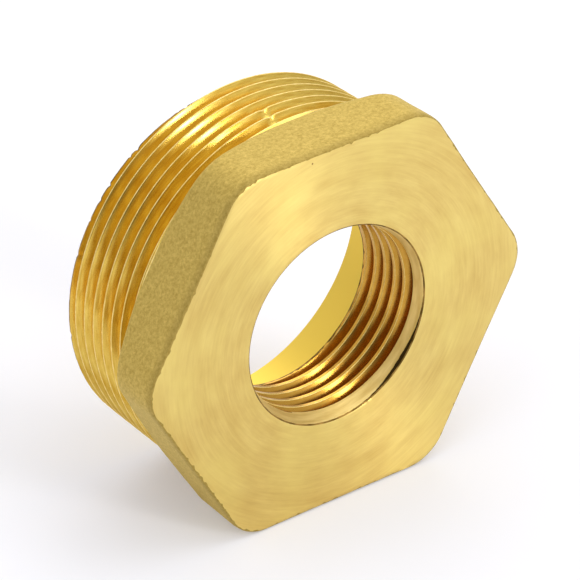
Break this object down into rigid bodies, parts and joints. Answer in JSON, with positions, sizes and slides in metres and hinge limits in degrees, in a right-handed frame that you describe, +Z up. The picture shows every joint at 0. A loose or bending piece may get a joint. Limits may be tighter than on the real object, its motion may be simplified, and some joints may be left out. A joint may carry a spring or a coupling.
{
  "type": "hex bushing",
  "caption": "Brass hex reducing bushing: a tapered male pipe thread behind a hexagon with a smaller female pipe thread through it.",
  "frame": {"origin": "on the bore axis, in the plane of the hexagon's turned face", "axes": "+Y along the bore axis from the hexagon's face to the male thread's rim; +Z up, square to the hexagon's top face edge, with the part lying on the opposite flat; +X to the right seen from the hexagon's face"},
  "size_m": [0.0682, 0.0273, 0.061],
  "materials": {
    "brass": "turned on the face, threads and bore; dull forged skin on the hexagon's flats"
  },
  "bodies": {
    "root": {"hex_bushing": "brass"}
  },
  "joints": []
}
